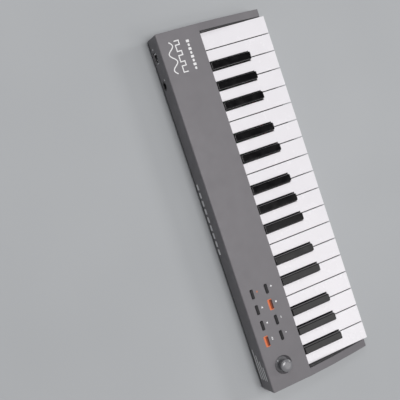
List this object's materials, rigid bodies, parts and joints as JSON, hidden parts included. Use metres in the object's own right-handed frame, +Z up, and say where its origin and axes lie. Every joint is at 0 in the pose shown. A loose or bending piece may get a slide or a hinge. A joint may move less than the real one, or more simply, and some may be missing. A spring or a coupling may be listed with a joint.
{
  "type": "mini synthesizer keyboard",
  "caption": "Slim mini-key synthesizer keyboard with a grey control deck, backlit transport buttons, a two-axis joystick, and USB and pedal sockets on the rear panel.",
  "frame": {"origin": "on the ground, at the middle of the keyboard's length and depth", "axes": "+X along the keys to the player's right, +Y away from the player to the rear panel, +Z up"},
  "size_m": [0.39, 0.1296, 0.039],
  "materials": {
    "cover_grey": "satin",
    "base_black": "satin",
    "feet_rubber": "matt",
    "steel": "plain",
    "spring_steel": "plain",
    "plated_steel": "bright",
    "frame_black": "matt",
    "felt": "woven",
    "silicone": "matt",
    "circuit_board": "satin",
    "socket_black": "satin",
    "cable": "satin",
    "nylon": "satin",
    "cap_grey": "gloss",
    "white_key": "gloss",
    "black_key": "gloss",
    "button_grey": "satin",
    "button_lit": "lit orange"
  },
  "bodies": {
    "case": {"top_cover": "cover_grey", "bottom_cover": "base_black", "rubber_feet": "feet_rubber", "case_screws": "steel", "key_frame": "frame_black", "key_pivot_rod": "steel", "key_spring_comb": "spring_steel", "key_stop_felt": "felt", "contact_rubber": "silicone", "contact_board": "circuit_board", "control_boards": "circuit_board", "main_board": "circuit_board", "usb_socket": "plated_steel", "pedal_jack": "socket_black", "ribbon_cables": "cable", "joystick_housing": "plated_steel"},
    "joystick_yoke": {"joystick_yoke": "nylon"},
    "joystick_bail": {"joystick_bail": "nylon"},
    "joystick": {"joystick_stick": "steel", "joystick_cap": "cap_grey"},
    "button_rear_1": {"button_rear_1": "button_grey"},
    "button_rear_2": {"button_rear_2": "button_grey"},
    "button_rear_3": {"button_rear_3": "button_grey"},
    "button_rear_4": {"button_rear_4": "button_lit"},
    "button_front_1": {"button_front_1": "button_grey"},
    "button_front_2": {"button_front_2": "button_lit"},
    "button_front_3": {"button_front_3": "button_grey"},
    "button_front_4": {"button_front_4": "button_grey"},
    "key_01": {"key_01_white_f": "white_key"},
    "key_02": {"key_02_black_f_sharp": "black_key"},
    "key_03": {"key_03_white_g": "white_key"},
    "key_04": {"key_04_black_g_sharp": "black_key"},
    "key_05": {"key_05_white_a": "white_key"},
    "key_06": {"key_06_black_a_sharp": "black_key"},
    "key_07": {"key_07_white_b": "white_key"},
    "key_08": {"key_08_white_c": "white_key"},
    "key_09": {"key_09_black_c_sharp": "black_key"},
    "key_10": {"key_10_white_d": "white_key"},
    "key_11": {"key_11_black_d_sharp": "black_key"},
    "key_12": {"key_12_white_e": "white_key"},
    "key_13": {"key_13_white_f": "white_key"},
    "key_14": {"key_14_black_f_sharp": "black_key"},
    "key_15": {"key_15_white_g": "white_key"},
    "key_16": {"key_16_black_g_sharp": "black_key"},
    "key_17": {"key_17_white_a": "white_key"},
    "key_18": {"key_18_black_a_sharp": "black_key"},
    "key_19": {"key_19_white_b": "white_key"},
    "key_20": {"key_20_white_c": "white_key"},
    "key_21": {"key_21_black_c_sharp": "black_key"},
    "key_22": {"key_22_white_d": "white_key"},
    "key_23": {"key_23_black_d_sharp": "black_key"},
    "key_24": {"key_24_white_e": "white_key"},
    "key_25": {"key_25_white_f": "white_key"},
    "key_26": {"key_26_black_f_sharp": "black_key"},
    "key_27": {"key_27_white_g": "white_key"},
    "key_28": {"key_28_black_g_sharp": "black_key"},
    "key_29": {"key_29_white_a": "white_key"},
    "key_30": {"key_30_black_a_sharp": "black_key"},
    "key_31": {"key_31_white_b": "white_key"},
    "key_32": {"key_32_white_c": "white_key"}
  },
  "joints": [
    {"name": "joystick_forward", "type": "hinge", "parent": "case", "child": "joystick_yoke", "pos_m": [-0.1712, 0.0439, 0.017], "axis": [1, 0, 0], "range_deg": [-16, 16], "stiffness_Nm_per_rad": 0.04},
    {"name": "joystick_sideways", "type": "hinge", "parent": "joystick_yoke", "child": "joystick", "pos_m": [-0.1712, 0.0439, 0.017], "axis": [0, 1, 0], "range_deg": [-16, 16], "stiffness_Nm_per_rad": 0.04},
    {"name": "joystick_bail_turn", "type": "hinge", "parent": "case", "child": "joystick_bail", "pos_m": [-0.1712, 0.0439, 0.017], "axis": [0, 1, 0], "range_deg": [-16, 16]},
    {"name": "button_rear_1_press", "type": "slide", "parent": "case", "child": "button_rear_1", "axis": [0, 0, -1], "range_m": [0, 0.0008], "stiffness_N_per_m": 1200, "springref_m": -0.0003},
    {"name": "button_rear_2_press", "type": "slide", "parent": "case", "child": "button_rear_2", "axis": [0, 0, -1], "range_m": [0, 0.0008], "stiffness_N_per_m": 1200, "springref_m": -0.0003},
    {"name": "button_rear_3_press", "type": "slide", "parent": "case", "child": "button_rear_3", "axis": [0, 0, -1], "range_m": [0, 0.0008], "stiffness_N_per_m": 1200, "springref_m": -0.0003},
    {"name": "button_rear_4_press", "type": "slide", "parent": "case", "child": "button_rear_4", "axis": [0, 0, -1], "range_m": [0, 0.0008], "stiffness_N_per_m": 1200, "springref_m": -0.0003},
    {"name": "button_front_1_press", "type": "slide", "parent": "case", "child": "button_front_1", "axis": [0, 0, -1], "range_m": [0, 0.0008], "stiffness_N_per_m": 1200, "springref_m": -0.0003},
    {"name": "button_front_2_press", "type": "slide", "parent": "case", "child": "button_front_2", "axis": [0, 0, -1], "range_m": [0, 0.0008], "stiffness_N_per_m": 1200, "springref_m": -0.0003},
    {"name": "button_front_3_press", "type": "slide", "parent": "case", "child": "button_front_3", "axis": [0, 0, -1], "range_m": [0, 0.0008], "stiffness_N_per_m": 1200, "springref_m": -0.0003},
    {"name": "button_front_4_press", "type": "slide", "parent": "case", "child": "button_front_4", "axis": [0, 0, -1], "range_m": [0, 0.0008], "stiffness_N_per_m": 1200, "springref_m": -0.0003},
    {"name": "key_01_press", "type": "hinge", "parent": "case", "child": "key_01", "pos_m": [0, 0.025, 0.015], "axis": [1, 0, 0], "range_deg": [0, 2.7], "stiffness_Nm_per_rad": 0.55, "springref_deg": -2.86, "deforming": ["key_spring_comb", "contact_rubber"]},
    {"name": "key_02_press", "type": "hinge", "parent": "case", "child": "key_02", "pos_m": [0, 0.025, 0.015], "axis": [1, 0, 0], "range_deg": [0, 3.6], "stiffness_Nm_per_rad": 0.6, "springref_deg": -2.86, "deforming": ["key_spring_comb", "contact_rubber"]},
    {"name": "key_03_press", "type": "hinge", "parent": "case", "child": "key_03", "pos_m": [0, 0.025, 0.015], "axis": [1, 0, 0], "range_deg": [0, 2.7], "stiffness_Nm_per_rad": 0.55, "springref_deg": -2.86, "deforming": ["key_spring_comb", "contact_rubber"]},
    {"name": "key_04_press", "type": "hinge", "parent": "case", "child": "key_04", "pos_m": [0, 0.025, 0.015], "axis": [1, 0, 0], "range_deg": [0, 3.6], "stiffness_Nm_per_rad": 0.6, "springref_deg": -2.86, "deforming": ["key_spring_comb", "contact_rubber"]},
    {"name": "key_05_press", "type": "hinge", "parent": "case", "child": "key_05", "pos_m": [0, 0.025, 0.015], "axis": [1, 0, 0], "range_deg": [0, 2.7], "stiffness_Nm_per_rad": 0.55, "springref_deg": -2.86, "deforming": ["key_spring_comb", "contact_rubber"]},
    {"name": "key_06_press", "type": "hinge", "parent": "case", "child": "key_06", "pos_m": [0, 0.025, 0.015], "axis": [1, 0, 0], "range_deg": [0, 3.6], "stiffness_Nm_per_rad": 0.6, "springref_deg": -2.86, "deforming": ["key_spring_comb", "contact_rubber"]},
    {"name": "key_07_press", "type": "hinge", "parent": "case", "child": "key_07", "pos_m": [0, 0.025, 0.015], "axis": [1, 0, 0], "range_deg": [0, 2.7], "stiffness_Nm_per_rad": 0.55, "springref_deg": -2.86, "deforming": ["key_spring_comb", "contact_rubber"]},
    {"name": "key_08_press", "type": "hinge", "parent": "case", "child": "key_08", "pos_m": [0, 0.025, 0.015], "axis": [1, 0, 0], "range_deg": [0, 2.7], "stiffness_Nm_per_rad": 0.55, "springref_deg": -2.86, "deforming": ["key_spring_comb", "contact_rubber"]},
    {"name": "key_09_press", "type": "hinge", "parent": "case", "child": "key_09", "pos_m": [0, 0.025, 0.015], "axis": [1, 0, 0], "range_deg": [0, 3.6], "stiffness_Nm_per_rad": 0.6, "springref_deg": -2.86, "deforming": ["key_spring_comb", "contact_rubber"]},
    {"name": "key_10_press", "type": "hinge", "parent": "case", "child": "key_10", "pos_m": [0, 0.025, 0.015], "axis": [1, 0, 0], "range_deg": [0, 2.7], "stiffness_Nm_per_rad": 0.55, "springref_deg": -2.86, "deforming": ["key_spring_comb", "contact_rubber"]},
    {"name": "key_11_press", "type": "hinge", "parent": "case", "child": "key_11", "pos_m": [0, 0.025, 0.015], "axis": [1, 0, 0], "range_deg": [0, 3.6], "stiffness_Nm_per_rad": 0.6, "springref_deg": -2.86, "deforming": ["key_spring_comb", "contact_rubber"]},
    {"name": "key_12_press", "type": "hinge", "parent": "case", "child": "key_12", "pos_m": [0, 0.025, 0.015], "axis": [1, 0, 0], "range_deg": [0, 2.7], "stiffness_Nm_per_rad": 0.55, "springref_deg": -2.86, "deforming": ["key_spring_comb", "contact_rubber"]},
    {"name": "key_13_press", "type": "hinge", "parent": "case", "child": "key_13", "pos_m": [0, 0.025, 0.015], "axis": [1, 0, 0], "range_deg": [0, 2.7], "stiffness_Nm_per_rad": 0.55, "springref_deg": -2.86, "deforming": ["key_spring_comb", "contact_rubber"]},
    {"name": "key_14_press", "type": "hinge", "parent": "case", "child": "key_14", "pos_m": [0, 0.025, 0.015], "axis": [1, 0, 0], "range_deg": [0, 3.6], "stiffness_Nm_per_rad": 0.6, "springref_deg": -2.86, "deforming": ["key_spring_comb", "contact_rubber"]},
    {"name": "key_15_press", "type": "hinge", "parent": "case", "child": "key_15", "pos_m": [0, 0.025, 0.015], "axis": [1, 0, 0], "range_deg": [0, 2.7], "stiffness_Nm_per_rad": 0.55, "springref_deg": -2.86, "deforming": ["key_spring_comb", "contact_rubber"]},
    {"name": "key_16_press", "type": "hinge", "parent": "case", "child": "key_16", "pos_m": [0, 0.025, 0.015], "axis": [1, 0, 0], "range_deg": [0, 3.6], "stiffness_Nm_per_rad": 0.6, "springref_deg": -2.86, "deforming": ["key_spring_comb", "contact_rubber"]},
    {"name": "key_17_press", "type": "hinge", "parent": "case", "child": "key_17", "pos_m": [0, 0.025, 0.015], "axis": [1, 0, 0], "range_deg": [0, 2.7], "stiffness_Nm_per_rad": 0.55, "springref_deg": -2.86, "deforming": ["key_spring_comb", "contact_rubber"]},
    {"name": "key_18_press", "type": "hinge", "parent": "case", "child": "key_18", "pos_m": [0, 0.025, 0.015], "axis": [1, 0, 0], "range_deg": [0, 3.6], "stiffness_Nm_per_rad": 0.6, "springref_deg": -2.86, "deforming": ["key_spring_comb", "contact_rubber"]},
    {"name": "key_19_press", "type": "hinge", "parent": "case", "child": "key_19", "pos_m": [0, 0.025, 0.015], "axis": [1, 0, 0], "range_deg": [0, 2.7], "stiffness_Nm_per_rad": 0.55, "springref_deg": -2.86, "deforming": ["key_spring_comb", "contact_rubber"]},
    {"name": "key_20_press", "type": "hinge", "parent": "case", "child": "key_20", "pos_m": [0, 0.025, 0.015], "axis": [1, 0, 0], "range_deg": [0, 2.7], "stiffness_Nm_per_rad": 0.55, "springref_deg": -2.86, "deforming": ["key_spring_comb", "contact_rubber"]},
    {"name": "key_21_press", "type": "hinge", "parent": "case", "child": "key_21", "pos_m": [0, 0.025, 0.015], "axis": [1, 0, 0], "range_deg": [0, 3.6], "stiffness_Nm_per_rad": 0.6, "springref_deg": -2.86, "deforming": ["key_spring_comb", "contact_rubber"]},
    {"name": "key_22_press", "type": "hinge", "parent": "case", "child": "key_22", "pos_m": [0, 0.025, 0.015], "axis": [1, 0, 0], "range_deg": [0, 2.7], "stiffness_Nm_per_rad": 0.55, "springref_deg": -2.86, "deforming": ["key_spring_comb", "contact_rubber"]},
    {"name": "key_23_press", "type": "hinge", "parent": "case", "child": "key_23", "pos_m": [0, 0.025, 0.015], "axis": [1, 0, 0], "range_deg": [0, 3.6], "stiffness_Nm_per_rad": 0.6, "springref_deg": -2.86, "deforming": ["key_spring_comb", "contact_rubber"]},
    {"name": "key_24_press", "type": "hinge", "parent": "case", "child": "key_24", "pos_m": [0, 0.025, 0.015], "axis": [1, 0, 0], "range_deg": [0, 2.7], "stiffness_Nm_per_rad": 0.55, "springref_deg": -2.86, "deforming": ["key_spring_comb", "contact_rubber"]},
    {"name": "key_25_press", "type": "hinge", "parent": "case", "child": "key_25", "pos_m": [0, 0.025, 0.015], "axis": [1, 0, 0], "range_deg": [0, 2.7], "stiffness_Nm_per_rad": 0.55, "springref_deg": -2.86, "deforming": ["key_spring_comb", "contact_rubber"]},
    {"name": "key_26_press", "type": "hinge", "parent": "case", "child": "key_26", "pos_m": [0, 0.025, 0.015], "axis": [1, 0, 0], "range_deg": [0, 3.6], "stiffness_Nm_per_rad": 0.6, "springref_deg": -2.86, "deforming": ["key_spring_comb", "contact_rubber"]},
    {"name": "key_27_press", "type": "hinge", "parent": "case", "child": "key_27", "pos_m": [0, 0.025, 0.015], "axis": [1, 0, 0], "range_deg": [0, 2.7], "stiffness_Nm_per_rad": 0.55, "springref_deg": -2.86, "deforming": ["key_spring_comb", "contact_rubber"]},
    {"name": "key_28_press", "type": "hinge", "parent": "case", "child": "key_28", "pos_m": [0, 0.025, 0.015], "axis": [1, 0, 0], "range_deg": [0, 3.6], "stiffness_Nm_per_rad": 0.6, "springref_deg": -2.86, "deforming": ["key_spring_comb", "contact_rubber"]},
    {"name": "key_29_press", "type": "hinge", "parent": "case", "child": "key_29", "pos_m": [0, 0.025, 0.015], "axis": [1, 0, 0], "range_deg": [0, 2.7], "stiffness_Nm_per_rad": 0.55, "springref_deg": -2.86, "deforming": ["key_spring_comb", "contact_rubber"]},
    {"name": "key_30_press", "type": "hinge", "parent": "case", "child": "key_30", "pos_m": [0, 0.025, 0.015], "axis": [1, 0, 0], "range_deg": [0, 3.6], "stiffness_Nm_per_rad": 0.6, "springref_deg": -2.86, "deforming": ["key_spring_comb", "contact_rubber"]},
    {"name": "key_31_press", "type": "hinge", "parent": "case", "child": "key_31", "pos_m": [0, 0.025, 0.015], "axis": [1, 0, 0], "range_deg": [0, 2.7], "stiffness_Nm_per_rad": 0.55, "springref_deg": -2.86, "deforming": ["key_spring_comb", "contact_rubber"]},
    {"name": "key_32_press", "type": "hinge", "parent": "case", "child": "key_32", "pos_m": [0, 0.025, 0.015], "axis": [1, 0, 0], "range_deg": [0, 2.7], "stiffness_Nm_per_rad": 0.55, "springref_deg": -2.86, "deforming": ["key_spring_comb", "contact_rubber"]}
  ],
  "couplings": [
    {"joint": "joystick_bail_turn", "follows": "joystick_sideways", "ratio": 1}
  ]
}
